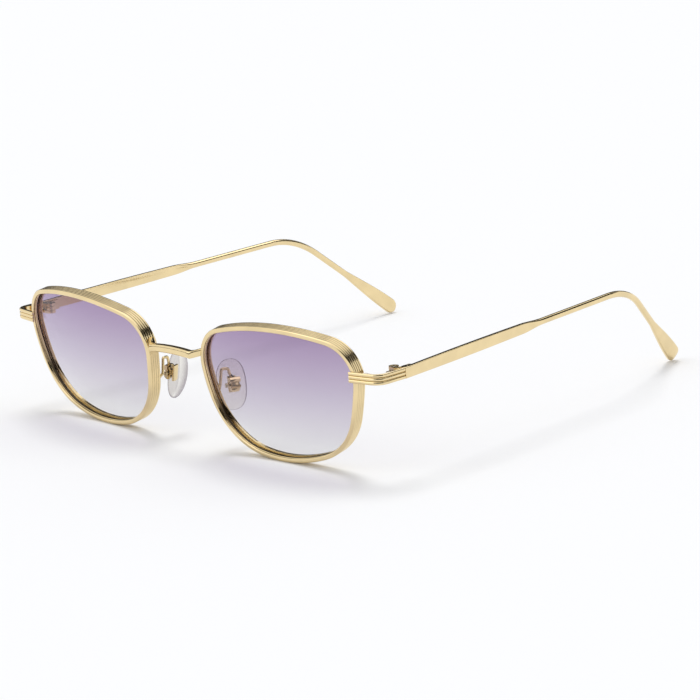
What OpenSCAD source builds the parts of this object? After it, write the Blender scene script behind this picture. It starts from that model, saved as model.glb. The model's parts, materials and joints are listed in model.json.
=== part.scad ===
/* [Rims] */
// Distance from the lens centre to the temple side of the outline, mm
rim_reach_temple = 25.4; // [25:0.1:25.8]
// Distance from the lens centre to the top of the outline, mm
rim_reach_top = 18.3; // [17.9:0.1:18.7]
// Distance from the lens centre to the nose side of the outline, mm
rim_reach_nose = 26; // [25.6:0.1:26.4]
// Distance from the lens centre to the bottom of the outline, mm
rim_reach_bottom = 18.4; // [18:0.1:18.8]
// Corner radius at the top temple corner, mm
corner_top_temple = 10.4; // [9:0.2:12]
// Corner radius at the top nose corner, mm
corner_top_nose = 11; // [9.6:0.2:12.6]
// Corner radius at the bottom nose corner, mm
corner_bottom_nose = 18.9; // [17:0.2:20]
// Corner radius at the bottom temple corner, mm
corner_bottom_temple = 18.1; // [16:0.2:19.4]
// Radius of the sphere that both rims and lenses follow, mm
base_radius = 115; // [105:1:130]
// Depth of the rim wire from front to back, mm
rim_depth = 3.2; // [3:0.1:3.5]
// Width of the front lip seen round the lens, mm
rim_lip = 1.2; // [1.1:0.05:1.3]
// Depth of the decorative grooves round the outer wall, mm
rim_groove_depth = 0.2; // [0.12:0.02:0.26]
// Angle by which each front turns back at the temple side, degrees
wrap = 4.5; // [3.5:0.5:5.5]
// Angle by which the top of the front leans forward, degrees
tilt = 9.2; // [8.2:0.5:10.2]

/* [Lenses] */
// Thickness of the lens, mm
lens_thickness = 1.6; // [1.3:0.1:1.8]

/* [Bridge] */
// Height of the bridge bar, mm
bridge_height = 2; // [1.6:0.1:2.4]
// Depth of the bridge bar from front to back, mm
bridge_depth = 2; // [1.7:0.1:2.3]
// Rise of the bridge in its middle, mm
bridge_rise = 0.4; // [0.2:0.1:0.8]
// Rise of the bridge feet towards the rims, mm
bridge_lift = 0.8; // [0.4:0.1:1]

/* [End pieces] */
// Height of the end piece and of the hinge, mm
lug_height = 2.8; // [2.6:0.1:3]
// Thickness of the end piece strip, mm
lug_thickness = 1.4; // [1.3:0.1:1.5]
// Outer radius of the end piece bend, mm
lug_bend = 3.8; // [3.4:0.1:4.2]
// Depth of the two grooves along the end piece, mm
lug_groove_depth = 0.25; // [0.15:0.05:0.35]

/* [Hinges] */
// Radius of the hinge barrel, mm
barrel_radius = 1.3; // [1.2:0.05:1.35]
// Radius of the hinge screw shaft, mm
hinge_screw_radius = 0.55; // [0.45:0.05:0.6]
// Gap between the end piece and the temple at the seam, mm
seam_gap = 0.2; // [0.15:0.05:0.3]

/* [Temples] */
// Angle of the open right temple towards the head, degrees
right_splay = 4.6; // [3:0.2:5.4]
// Angle of the open left temple towards the head, degrees
left_splay = 1.8; // [1:0.2:4]
// Length from the hinge to the start of the ear bend, mm
temple_straight = 83.2; // [78:0.2:90]
// Length of the flat plate before it narrows, mm
plate_length = 46; // [40:1:52]
// Tallest height of the temple plate, mm
plate_height = 3.1; // [2.9:0.1:3.4]
// Thickness of the temple plate, mm
plate_thickness = 1.2; // [1.1:0.1:1.3]
// Radius of the round temple wire, mm
wire_radius = 0.75; // [0.65:0.05:0.85]
// Radius of the ear bend, mm
ear_bend_radius = 23.4; // [20:0.2:27]
// Angle of the ear bend, degrees
ear_bend_angle = 42.6; // [41:0.2:44.2]
// Length from the ear bend to the tip, mm
ear_length = 31.1; // [29:0.1:33]
// Width of the flattened tip, mm
tip_width = 4.4; // [3.8:0.1:4.8]
// Thickness of the flattened tip, mm
tip_thickness = 1.2; // [1.1:0.1:1.4]

/* [Nose pads] */
// Height of the nose pad, mm
pad_height = 13.3; // [12.5:0.1:14]
// Width of the nose pad, mm
pad_width = 8; // [7.4:0.1:8.4]
// Thickness of the nose pad in its middle, mm
pad_thickness = 2.6; // [2.4:0.1:2.9]
// Radius of the nose pad arm wire, mm
arm_radius = 0.5; // [0.4:0.05:0.55]
// Radius of the turn in the nose pad arm, mm
arm_turn = 1.15; // [1:0.05:1.3]

/* [Hidden] */
$fn = 32;
gold = [0.80, 0.68, 0.42];
steel = [0.74, 0.70, 0.60];
tint = [0.60, 0.53, 0.68, 0.6];
clear = [0.95, 0.94, 0.90, 0.6];
seat = 0.03;
fit = 0.05;
// lens centre of the right eye and the height of its centre over the table
eye_x = 36.87;
eye_z = 17.95;
// each side of the outline: direction, reach, lean of its arc, radius of its arc
SIDES = [[0, rim_reach_temple, -14.4, 64.5], [90, rim_reach_top, 1.5, 73.7],
    [180, rim_reach_nose, 10.3, 58.7], [270, rim_reach_bottom, 2.8, 46.6]];
CORNERS = [corner_top_temple, corner_top_nose, corner_bottom_nose, corner_bottom_temple];
arc_step = 6;
sphere_facets = 120;
// rim section: where the lens groove starts and ends behind the front face, and how deep it goes
groove_front = 0.9;
groove_back = 2.4;
groove_root = 0.65;
lens_front = 1.6;
tongue_back = 2.25;
rib_count = 5;
rib_pitch = rim_depth / rib_count;
rib_gap = 0.22;
// bridge bar: underside, half length, half reach over its feet, turn of the feet, its place before the rims
bridge_low = 24.4;
bridge_half = 7.7;
bridge_reach = 10.5;
foot_turn = 40;
foot_depth = bridge_depth * 0.95;
bridge_y = on_front(-rim_reach_nose, bridge_low - eye_z, 0)[1] - 1.52;
// end piece: level, slope of its front part, outer face of its arm
lug_z = 25.84;
lug_slope = 10;
outer_x = 70.8;
seam_y = 13.8;
// outer wall of the rim at that level, and the front end of the end piece, which reaches over the lip
wall_u = side_centre(0)[0] + sqrt(pow(SIDES[0][3], 2) - pow(lug_z - eye_z - side_centre(0)[1], 2));
wall = on_front(wall_u, lug_z - eye_z, 0);
lug_start = on_front(wall_u - rim_lip, lug_z - eye_z, 0) + [-0.85, -0.74, 0];
lug_start_x = lug_start[0];
lug_start_y = lug_start[1];
bend_x = outer_x - lug_bend;
bend_y = lug_start_y + (bend_x + lug_bend * sin(lug_slope) - lug_start_x) * tan(lug_slope)
    + lug_bend * cos(lug_slope);
// closing blocks behind the end piece: split, levels, length and depth, and the screw through them
split_gap = 0.3;
split_z = lug_z - 0.45;
block_high = lug_z + 0.45;
block_low = lug_z - 1.75;
block_length = 4.2;
block_depth = 3.4;
rim_screw_x = wall[0] + 1.9;
rim_screw_y = wall[1] + 2.3;
rim_screw_radius = 0.45;
rim_head_radius = 0.72;
head_height = 0.45;
// hinge axis, and the leaf on the inner face of the end piece
screw_head_radius = 0.9;
leaf_thickness = 1.2;
leaf_length = 4.2;
hinge_x = outer_x - lug_thickness - leaf_thickness - barrel_radius - 0.2;
hinge_y = seam_y;
knuckle = 0.8;
lug_low = lug_z - lug_height / 2;
lug_high = lug_z + lug_height / 2;
// temples: rise towards the ear and lean of the ear bend on each side, length of the neck
right_rise = 1.14;
left_rise = 1.34;
right_lean = 18.2;
left_lean = 14.6;
neck = 9;
neck_radius = 0.35;
wire_x = -0.7;
ear_start = 3;
tip_radius = tip_width / 2;
// nose pad: centre, turn, flare, and the rocking axis in the frame of the pad
pad_centre = [10.5, 9.8, 15.7];
pad_turn = 22;
pad_flare = 8;
rock_x = 2.4;
rock_z = 0.1;
insert_depth = 0.6;
insert_size = [4.2, 2.2];
tongue_half = 0.65;
tongue_radius = 0.75;
pad_back = 1;
box_front = 1.6;
box_back = 3.7;
box_half = 1.4;
box_low = rock_z - 1.9;
box_high = rock_z + 1.9;
box_chamfer = 0.5;
pad_screw_radius = 0.35;
pad_head_radius = 0.55;
pad_screw_proud = 0.6;
// nose pad arm: centre of its turn, straight leg, foot that slants to the back of the rim
turn_centre = [11.6, 7, 19.6];
arm_lean = 9;
arm_yaw = 13;
leg_length = 3.4;
arm_foot = [0.7, -1.3, -1.2];
// middle of the whole depth, so that the origin lies under the middle of the frame
front_y = min([for (p = outline(0)) on_front(p[0], p[1], 0)[1]]);
tip_y = seam_y + max(tip_place(right_splay, right_lean, right_rise)[1],
    tip_place(left_splay, left_lean, left_rise)[1]);
middle_y = (front_y + tip_y + tip_radius) / 2;

function unit(a) = [cos(a), sin(a)];
function bearing(p) = atan2(p[1], p[0]);
function arc_points(centre, radius, from, to, steps) =
    [for (k = [0:steps]) centre + radius * unit(from + (to - from) * k / steps)];

// rim outline as eight arcs, each tangent to the next
function side_centre(i) = unit(SIDES[i][0]) * SIDES[i][1] - unit(SIDES[i][0] + SIDES[i][2]) * SIDES[i][3];
function side_radius(i) = SIDES[i][3];
function meet(c0, r0, c1, r1) =
    let (d = c1 - c0, span = norm(d), a = (r0 * r0 - r1 * r1 + span * span) / (2 * span))
    c0 + a * d / span + sqrt(r0 * r0 - a * a) * [-d[1], d[0]] / span;
function corner_centre(i) =
    let (j = (i + 1) % 4)
    meet(side_centre(i), side_radius(i) - CORNERS[i], side_centre(j), side_radius(j) - CORNERS[i]);
function toward(c, p, r) = c + (p - c) / norm(p - c) * r;
function arcs(inset) = [for (i = [0:3]) each
    let (j = (i + 1) % 4,
        here = side_centre(i),
        next = side_centre(j),
        before = corner_centre((i + 3) % 4),
        after = corner_centre(i),
        first = toward(here, before, side_radius(i) - inset),
        last = toward(here, after, side_radius(i) - inset))
    [[here, side_radius(i) - inset, first, last],
     [after, CORNERS[i] - inset, last, toward(next, after, side_radius(j) - inset)]]];
function outline(inset) = [for (arc = arcs(inset))
    let (start = bearing(arc[2] - arc[0]),
        sweep = (bearing(arc[3] - arc[0]) - start + 720) % 360,
        steps = ceil(sweep / arc_step))
    for (k = [0:steps - 1]) arc[0] + arc[1] * unit(start + sweep * k / steps)];

// place of a point of the right rim, from its place on the outline and its depth behind the front face
function on_front(u, v, depth) =
    let (y = base_radius - sqrt(pow(base_radius - depth, 2) - u * u - v * v),
        out = y * cos(tilt) - v * sin(tilt))
    [eye_x + u * cos(wrap) - out * sin(wrap), u * sin(wrap) + out * cos(wrap),
        eye_z + y * sin(tilt) + v * cos(tilt)];

// place of the rounded end of the ear tip, measured from the seam
function tip_place(splay, lean, rise) =
    let (along = temple_straight + ear_bend_radius * sin(ear_bend_angle) + ear_length * cos(ear_bend_angle),
        down = ear_bend_radius * (1 - cos(ear_bend_angle)) + ear_length * sin(ear_bend_angle),
        x = wire_x - down * sin(lean),
        y = along * cos(rise) + down * cos(lean) * sin(rise),
        z = along * sin(rise) - down * cos(lean) * cos(rise))
    [x * cos(splay) - y * sin(splay), x * sin(splay) + y * cos(splay), z];

// frame of the nose pad
function pad_place(v) =
    let (x = v[0] * cos(pad_flare) - v[2] * sin(pad_flare), z = v[0] * sin(pad_flare) + v[2] * cos(pad_flare))
    pad_centre + [x * cos(pad_turn) + v[1] * sin(pad_turn), -x * sin(pad_turn) + v[1] * cos(pad_turn), z];
function arm_place(v) =
    let (y = v[1] * cos(arm_lean) + v[2] * sin(arm_lean), z = -v[1] * sin(arm_lean) + v[2] * cos(arm_lean))
    turn_centre + [v[0] * cos(arm_yaw) + y * sin(arm_yaw), -v[0] * sin(arm_yaw) + y * cos(arm_yaw), z];

module side(name) {
    translate([0, -middle_y, 0]) {
        if (name == "left") mirror([1, 0, 0]) children();
        else children();
    }
}

module in_rim_frame() {
    translate([eye_x, 0, eye_z]) rotate([tilt, 0, wrap]) children();
}

module ball(depth) {
    translate([0, base_radius, 0]) sphere(base_radius - depth, $fn = sphere_facets);
}

module prism(inset, front, back) {
    rotate([90, 0, 0]) translate([0, 0, -back]) linear_extrude(back - front) polygon(outline(inset));
}

// layer of the curved front between two depths, out to an inset of the outline
module layer(from, to, inset) {
    difference() {
        intersection() {
            prism(inset, -2, 16);
            ball(from);
        }
        ball(to);
    }
}

module rim() {
    difference() {
        in_rim_frame() difference() {
            layer(0, rim_depth, 0);
            prism(rim_lip, -3, 17);
            layer(groove_front, groove_back, groove_root);
            for (i = [1:rib_count - 1]) difference() {
                layer(i * rib_pitch - rib_gap / 2, i * rib_pitch + rib_gap / 2, -1);
                prism(rim_groove_depth, -3, 17);
            }
        }
        translate([lug_start_x - 1, 0, split_z - split_gap / 2]) cube([6, 12, split_gap]);
    }
}

module rim_room() {
    in_rim_frame() layer(-seat, rim_depth + seat, -seat);
}

module lens() {
    in_rim_frame() {
        layer(lens_front, tongue_back, groove_root + 0.07);
        layer(lens_front, lens_front + lens_thickness, rim_lip + 0.1);
    }
}

// bridge seen from above: a straight bar whose feet turn back to the rims
module bridge_plan() {
    foot_y = bridge_y + (bridge_reach - bridge_half) * tan(foot_turn);
    right = [[bridge_half, bridge_y], [bridge_reach, foot_y], [bridge_reach, foot_y + foot_depth],
        [bridge_half - 0.7, bridge_y + bridge_depth]];
    polygon(concat(right, [for (i = [3:-1:0]) [-right[i][0], right[i][1]]]));
}

// underside of the bridge: a low arch that rises again in the feet
function bridge_under(x) = abs(x) < bridge_half
    ? bridge_low + bridge_rise * (1 - pow(x / bridge_half, 2))
    : bridge_low + bridge_lift * (abs(x) - bridge_half) / (bridge_reach - bridge_half);

module bridge() {
    stations = concat([-bridge_reach - 1], [for (k = [-8:8]) bridge_half * k / 8], [bridge_reach + 1]);
    lower = [for (x = stations) [x, bridge_under(x)]];
    upper = [for (p = lower) [-p[0], p[1] + bridge_height]];
    difference() {
        intersection() {
            translate([0, 0, bridge_low - 1]) linear_extrude(bridge_height + 4) bridge_plan();
            translate([0, bridge_y + 10, 0]) rotate([90, 0, 0]) linear_extrude(12)
                polygon(concat(lower, upper));
        }
        rim_room();
        mirror([1, 0, 0]) rim_room();
        in_rim_frame() prism(rim_lip, -3, 17);
        mirror([1, 0, 0]) in_rim_frame() prism(rim_lip, -3, 17);
    }
}

// end piece seen from above, between two insets from its outer face
function lug_edge(inset) = concat(
    [[lug_start_x, lug_start_y] + inset * [-sin(lug_slope), cos(lug_slope)]],
    arc_points([bend_x, bend_y], lug_bend - inset, lug_slope - 90, 0, 12),
    [[outer_x - inset, seam_y - seam_gap / 2]]);
module strip(from, to, low, high) {
    back = lug_edge(to);
    translate([0, 0, low]) linear_extrude(high - low)
        polygon(concat(lug_edge(from), [for (i = [len(back) - 1:-1:0]) back[i]]));
}

module end_piece() {
    difference() {
        strip(0, lug_thickness, lug_low, lug_high);
        for (i = [-1, 1]) {
            groove_z = lug_z + i * lug_height / 6;
            strip(-1, lug_groove_depth, groove_z - 0.13, groove_z + 0.13);
        }
        rim_room();
    }
}

// block behind the end piece, soldered to the rim on one side of the split
module block(low, high) {
    edge = lug_edge(lug_thickness + seat);
    difference() {
        translate([0, 0, low]) linear_extrude(high - low) intersection() {
            polygon(concat(edge, [[lug_start_x, seam_y]]));
            translate([wall[0] - 0.6, wall[1]]) square([block_length, block_depth]);
        }
        rim_room();
    }
}

module upper_block() {
    difference() {
        block(split_z + split_gap / 2, block_high);
        translate([rim_screw_x, rim_screw_y, split_z]) cylinder(h = 5, r = rim_screw_radius + fit);
        translate([rim_screw_x, rim_screw_y, block_high - head_height])
            cylinder(h = 2, r = rim_head_radius + fit);
    }
}

module lower_block() {
    difference() {
        block(block_low, split_z - split_gap / 2);
        translate([rim_screw_x, rim_screw_y, block_low - 1]) cylinder(h = 5, r = rim_screw_radius + seat);
    }
}

// slotted screw along Z: its head is at the top
module screw(radius, length, head) {
    difference() {
        union() {
            cylinder(h = length, r = radius);
            translate([0, 0, length - head_height + fit]) cylinder(h = head_height - fit, r = head);
        }
        translate([-head - 1, -0.14, length - 0.22]) cube([2 * head + 2, 0.28, 1]);
    }
}

module rim_screw() {
    translate([rim_screw_x, rim_screw_y, block_low + 0.1])
        screw(rim_screw_radius, block_high - block_low - 0.15, rim_head_radius);
}

module hinge_pillar(radius) {
    translate([hinge_x, hinge_y, lug_low - 1]) cylinder(h = lug_height + 2, r = radius);
}

module front_leaf() {
    leaf_x = outer_x - lug_thickness - seat;
    difference() {
        union() {
            translate([leaf_x - leaf_thickness, hinge_y - leaf_length, lug_low + 0.35])
                cube([leaf_thickness, leaf_length - fit, lug_height - 0.7]);
            translate([hinge_x, hinge_y - barrel_radius, lug_low])
                cube([leaf_x - hinge_x, barrel_radius - fit, lug_height]);
            translate([hinge_x, hinge_y, lug_low]) cylinder(h = lug_height, r = barrel_radius);
        }
        translate([hinge_x - 2 * barrel_radius, hinge_y - barrel_radius - 0.15, lug_low + knuckle])
            cube([8, 8, lug_height - 2 * knuckle]);
        hinge_pillar(hinge_screw_radius + fit);
        translate([hinge_x, hinge_y, lug_high - head_height]) cylinder(h = 2, r = screw_head_radius + fit);
    }
}

module temple_leaf(splay) {
    leaf_x = outer_x - plate_thickness - seat - 0.22;
    low = lug_low + knuckle + fit;
    high = lug_high - knuckle - fit;
    difference() {
        union() {
            translate([hinge_x, hinge_y, low]) cylinder(h = high - low, r = barrel_radius);
            translate([hinge_x, hinge_y + 0.1, low])
                cube([leaf_x - hinge_x - 0.4, barrel_radius - 0.1, high - low]);
            translate([leaf_x, hinge_y, lug_low + 0.15]) rotate([0, 0, splay])
                translate([-leaf_thickness + 0.1, 0.15, 0]) cube([leaf_thickness - 0.1, 4, lug_height - 0.3]);
        }
        hinge_pillar(hinge_screw_radius + fit);
    }
}

module hinge_screw() {
    translate([hinge_x, hinge_y, lug_low + 0.05])
        screw(hinge_screw_radius, lug_height - 0.1, screw_head_radius);
}

// upper or lower edge of the temple plate: half height at a distance from the seam
function plate_edge(y) = y < plate_length
    ? lug_height / 2 + (plate_height - lug_height) / 2 * sin(y / plate_length * 180)
        - (lug_height - 2.65) / 2 * y / plate_length
    : 2.65 / 2 - (2.65 / 2 - wire_radius + 0.1) * (1 - cos((y - plate_length) / neck * 180)) / 2;
function plate_points(sign) = [for (k = [0:16])
    let (y = seam_gap / 2 + (plate_length + neck - seam_gap / 2) * k / 16) [y, sign * plate_edge(y)]];

module temple_plate() {
    lower = plate_points(-1);
    rotate([90, 0, 90]) translate([0, 0, -plate_thickness]) linear_extrude(plate_thickness)
        polygon(concat(plate_points(1), [for (i = [len(lower) - 1:-1:0]) lower[i]]));
}

// half width of the ear end at a distance from the ear bend
function ear_half(y) =
    0.4 + (tip_radius - 0.4) * (1 - cos((y - ear_start) / (ear_length - ear_start) * 180)) / 2;

module ear_end() {
    upper = [for (k = [0:16]) let (y = ear_start + (ear_length - ear_start) * k / 16) [y, ear_half(y)]];
    rotate([90, 0, 90]) translate([0, 0, -tip_thickness / 2]) linear_extrude(tip_thickness)
        polygon(concat([for (p = upper) [p[0], -p[1]]],
            arc_points([ear_length, 0], tip_radius, -84, 84, 14),
            [for (i = [16:-1:0]) upper[i]]));
    rotate([-90, 0, 0]) rotate_extrude()
        polygon([[0, -0.3], [wire_radius + 0.03, -0.3], [wire_radius + 0.03, ear_start + 2],
            [tip_thickness / 2 - 0.15, ear_start + 11], [0, ear_start + 11]]);
}

module temple(splay, lean, rise) {
    translate([outer_x, seam_y, lug_z]) rotate([rise, 0, splay]) {
        temple_plate();
        translate([wire_x, 0, 0]) {
            rotate([-90, 0, 0]) rotate_extrude()
                polygon([[0, plate_length], [neck_radius, plate_length], [wire_radius, plate_length + neck],
                    [wire_radius, temple_straight], [0, temple_straight]]);
            translate([0, temple_straight, 0]) rotate([0, lean, 0]) {
                translate([0, 0, -ear_bend_radius]) rotate([0, -90, 0])
                    rotate_extrude(angle = ear_bend_angle)
                        translate([ear_bend_radius, 0]) circle(wire_radius);
                translate([0, ear_bend_radius * sin(ear_bend_angle),
                    ear_bend_radius * (cos(ear_bend_angle) - 1)])
                    rotate([-ear_bend_angle, 0, 0]) ear_end();
            }
        }
    }
}

module in_pad_frame() {
    translate(pad_centre) rotate([0, -pad_flare, -pad_turn]) children();
}

module nose_pad() {
    half = pad_height / 2;
    bulge = 1.3;
    curve = (half * half + bulge * bulge) / (2 * bulge);
    in_pad_frame() difference() {
        intersection() {
            translate([pad_back - pad_thickness, 0, 0]) rotate([90, 0, 90]) linear_extrude(pad_thickness)
                polygon([for (a = [0:8:352]) [pad_width / 2 * sign(cos(a)) * pow(abs(cos(a)), 0.85),
                    half * sign(sin(a)) * pow(abs(sin(a)), 0.85)]]);
            translate([pad_back - pad_thickness + curve, 0, 0]) sphere(curve, $fn = 48);
        }
        translate([pad_back - insert_depth - fit, -insert_size[1] / 2 - fit, rock_z - insert_size[0] / 2])
            translate([0, 0, -fit]) cube([5, insert_size[1] + 2 * fit, insert_size[0] + 2 * fit]);
    }
}

module pad_insert() {
    in_pad_frame() difference() {
        union() {
            translate([pad_back - insert_depth, -insert_size[1] / 2, rock_z - insert_size[0] / 2])
                cube([insert_depth, insert_size[1], insert_size[0]]);
            translate([pad_back - 0.1, -tongue_half, rock_z - tongue_radius])
                cube([rock_x - pad_back + 0.1, 2 * tongue_half, 2 * tongue_radius]);
            translate([rock_x, tongue_half, rock_z]) rotate([90, 0, 0])
                cylinder(h = 2 * tongue_half, r = tongue_radius);
        }
        translate([rock_x, 3, rock_z]) rotate([90, 0, 0]) cylinder(h = 6, r = pad_screw_radius + fit);
    }
}

module pad_box() {
    c = box_chamfer;
    in_pad_frame() difference() {
        translate([0, box_half, 0]) rotate([90, 0, 0]) linear_extrude(2 * box_half)
            polygon([[box_front, box_low + c], [box_front + c, box_low], [box_back - c, box_low],
                [box_back, box_low + c], [box_back, box_high - c], [box_back - c, box_high],
                [box_front + c, box_high], [box_front, box_high - c]]);
        translate([box_front - 1, -tongue_half - 0.1, rock_z - 1.1])
            cube([rock_x + tongue_radius + 0.15 - box_front + 1, 2 * tongue_half + 0.2, 2.2]);
        translate([rock_x, 3, rock_z]) rotate([90, 0, 0]) cylinder(h = 6, r = pad_screw_radius + seat);
    }
}

module pad_screw() {
    length = 2 * box_half + pad_screw_proud;
    in_pad_frame() translate([rock_x, box_half, rock_z]) rotate([90, 0, 0]) difference() {
        union() {
            cylinder(h = length, r = pad_screw_radius);
            translate([0, 0, length - 0.1]) cylinder(h = 0.5, r = pad_head_radius);
        }
        translate([-2, -0.1, length + 0.2]) cube([4, 0.2, 1]);
    }
}

module rod(from, to, radius) {
    d = to - from;
    translate(from) rotate([0, acos(d[2] / norm(d)), atan2(d[1], d[0])]) cylinder(h = norm(d), r = radius);
}

module pad_arm() {
    foot = arm_place([0, -arm_turn, -leg_length]);
    end = arm_place([0, arm_turn, -0.3]);
    box_top = pad_place([(box_front + box_back) / 2, 0, box_high + seat]);
    translate(turn_centre) rotate([-arm_lean, 0, -arm_yaw]) {
        translate([0, -arm_turn, -leg_length]) cylinder(h = leg_length, r = arm_radius);
        rotate([0, -90, 0]) rotate([0, 0, -90]) rotate_extrude(angle = 180)
            translate([arm_turn, 0]) circle(arm_radius);
        translate([0, arm_turn, -0.3]) cylinder(h = 0.3, r = arm_radius);
    }
    translate(end) sphere(arm_radius + 0.03);
    intersection() {
        rod(end, pad_place([(box_front + box_back) / 2, 0, box_high - 1]), arm_radius);
        in_pad_frame() translate([-5, -5, box_high + seat]) cube(12);
    }
    translate(foot) sphere(arm_radius + 0.03);
    intersection() {
        rod(foot, foot + arm_foot, arm_radius);
        in_rim_frame() ball(rim_depth + seat);
    }
}

color(gold) side("right") bridge();

color(gold) side("right") rim();  // right_rim
color(tint) side("right") lens();  // right_lens
color(gold) side("right") end_piece();  // right_end_piece
color(gold) side("right") upper_block();  // right_upper_block
color(gold) side("right") lower_block();  // right_lower_block
color(steel) side("right") rim_screw();  // right_rim_screw
color(gold) side("right") front_leaf();  // right_front_leaf
color(gold) side("right") temple_leaf(right_splay);  // right_temple_leaf
color(steel) side("right") hinge_screw();  // right_hinge_screw
color(gold) side("right")  // right_temple
    temple(right_splay, right_lean, right_rise);
color(gold) side("right") pad_arm();  // right_pad_arm
color(gold) side("right") pad_box();  // right_pad_box
color(clear) side("right") nose_pad();  // right_nose_pad
color(gold) side("right") pad_insert();  // right_pad_insert
color(steel) side("right") pad_screw();  // right_pad_screw

color(gold) side("left") rim();  // left_rim
color(tint) side("left") lens();  // left_lens
color(gold) side("left") end_piece();  // left_end_piece
color(gold) side("left") upper_block();  // left_upper_block
color(gold) side("left") lower_block();  // left_lower_block
color(steel) side("left") rim_screw();  // left_rim_screw
color(gold) side("left") front_leaf();  // left_front_leaf
color(gold) side("left") temple_leaf(left_splay);  // left_temple_leaf
color(steel) side("left") hinge_screw();  // left_hinge_screw
color(gold) side("left")  // left_temple
    temple(left_splay, left_lean, left_rise);
color(gold) side("left") pad_arm();  // left_pad_arm
color(gold) side("left") pad_box();  // left_pad_box
color(clear) side("left") nose_pad();  // left_nose_pad
color(gold) side("left") pad_insert();  // left_pad_insert
color(steel) side("left") pad_screw();  // left_pad_screw
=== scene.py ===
import json
from math import atan2, ceil, copysign, cos, pi, radians, sin, sqrt, tan

import bmesh
import bpy
from bpy.props import FloatProperty, FloatVectorProperty, PointerProperty
from mathutils import Matrix, Vector


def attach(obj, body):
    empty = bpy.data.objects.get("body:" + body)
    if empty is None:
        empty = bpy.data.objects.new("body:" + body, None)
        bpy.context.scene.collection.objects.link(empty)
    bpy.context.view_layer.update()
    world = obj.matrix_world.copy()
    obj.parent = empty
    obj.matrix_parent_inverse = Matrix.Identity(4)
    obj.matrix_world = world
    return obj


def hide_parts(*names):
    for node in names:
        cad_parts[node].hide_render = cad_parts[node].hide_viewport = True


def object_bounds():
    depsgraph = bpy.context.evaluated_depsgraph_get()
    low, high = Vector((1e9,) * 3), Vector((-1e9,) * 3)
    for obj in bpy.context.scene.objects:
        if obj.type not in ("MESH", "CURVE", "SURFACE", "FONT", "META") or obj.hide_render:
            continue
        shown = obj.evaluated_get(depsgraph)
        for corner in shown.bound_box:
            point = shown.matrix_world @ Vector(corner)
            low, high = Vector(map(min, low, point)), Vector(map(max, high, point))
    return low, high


bl_info = {
    "name": "Square sunglasses",
    "version": (1, 0, 0),
    "blender": (4, 5, 0),
    "location": "View3D > Sidebar > Sunglasses",
    "description": "Dresses the square metal sunglasses: eyewires, lenses, bridge, temples and nose pads",
    "category": "Object",
}

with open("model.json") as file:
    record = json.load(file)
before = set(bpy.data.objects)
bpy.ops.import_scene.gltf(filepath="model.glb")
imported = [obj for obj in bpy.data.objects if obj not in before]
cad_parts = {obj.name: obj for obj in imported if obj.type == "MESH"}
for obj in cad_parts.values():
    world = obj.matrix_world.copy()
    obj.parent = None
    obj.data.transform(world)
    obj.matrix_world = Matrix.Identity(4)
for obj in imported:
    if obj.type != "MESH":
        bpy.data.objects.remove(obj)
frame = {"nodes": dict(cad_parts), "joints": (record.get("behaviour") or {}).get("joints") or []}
CAD_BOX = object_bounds()
MM = 0.001
# Lengths as near as this count as the same.
NEAR = 0.01
SIDES = {"right": 1, "left": -1}

# Lengths are in millimetres, as in the part's source. The front stands at the same depth as there.
HINGE_Y = 13.8
FRONT_SHIFT = next(j["pos_m"][1] for j in frame["joints"] if j["name"] == "right_temple_fold") / MM - HINGE_Y

# Rims: middle of the right eye, turn and tilt, radius of the lenses' sphere, size of the section.
EYE = Vector((36.87, 0, 17.95))
WRAP = radians(4.5)
TILT = radians(9.2)
BASE_RADIUS = 115
RIM_DEPTH = 3.2
RIM_LIP = 1.2
LIP_FORM = 1.2
RIBS = 5
# Sides of the outline, as (direction in degrees, reach, lean in degrees, radius), and radii of its corners.
OUTLINE_SIDES = ((0, 25.4, -14.4, 64.5), (90, 18.3, 1.5, 73.7), (180, 26, 10.3, 58.7),
                 (270, 18.4, 2.8, 46.6))
OUTLINE_CORNERS = (10.4, 11, 18.9, 18.1)
# Parts of the section as (inset, depth, painted shade): the undercut lip, and the lens groove with the back
# lip.
# Between them lies the seat, a low round bar along the lens.
# The undercut and the front of the lens groove carry painted shade, a dark line drawn in the recess.
UNDERCUT = ((RIM_LIP, 0.42, 0.0), (RIM_LIP - 0.08, 0.46, 0.25), (RIM_LIP - 0.22, 0.5, 0.4),
            (RIM_LIP - 0.22, 0.62, 0.4), (RIM_LIP - 0.1, 0.66, 0.25))
LENS_GROOVE = ((RIM_LIP - 0.1, 1.47, 1.0), (0.65, 1.52, 1.0), (0.65, 1.8, 1.0), (0.65, 2.0, 0.2),
               (0.65, 2.4, 0.0), (RIM_LIP - 0.08, 2.4, 0.0), (RIM_LIP, 2.48, 0.0), (RIM_LIP, 3.06, 0.0),
               (RIM_LIP - 0.14, RIM_DEPTH, 0.0), (0.2, RIM_DEPTH, 0.0))
SEAT_MIDDLE = 1.07
SEAT_HALF = 0.37
SEAT_CREST = 0.12
SEAT_EDGE = RIM_LIP - 0.06
# Painted shade on the seat, high and low, darker low down, and the height from which and over which it
# changes.
SEAT_PAINTED_SHADE = (0.1, 0.95)
SEAT_FADE = (EYE.z + 2, 12)
# Painted shade in a groove and on the points beside it, for the ribs of the rims and the ridges of the end
# pieces.
RIB_SHADES = (0.9, 0.85, 0.65, 0.35, 0.1)
RIDGE_SHADES = (0.6, 0.1)
# Share of the ribs' painted shade low down, and the height from which and over which it grows to the whole.
# The same for the distance from the middle of the eye.
RIB_HIGH = (0.22, 22, 7)
RIB_OUTER = (0.4, 13, 7)
# Values that mark the points of the seat and of the ribs' grooves, which get painted shade, until the section
# is swept.
SEAT_MARK = -1.0
WALL_MARK = 2
WALL_END = 0.02
REED_STEPS = 6
REED_FILL = 0.48
REED_GROOVE = 0.04

LENS_FRONT = 1.6
LENS_TONGUE = 2.25
LENS_THICKNESS = 1.6
LENS_EDGE = RIM_LIP + 0.1
LENS_BEVEL = 0.12
TONGUE_INSET = 0.72
LENS_ROUNDS = 14
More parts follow.
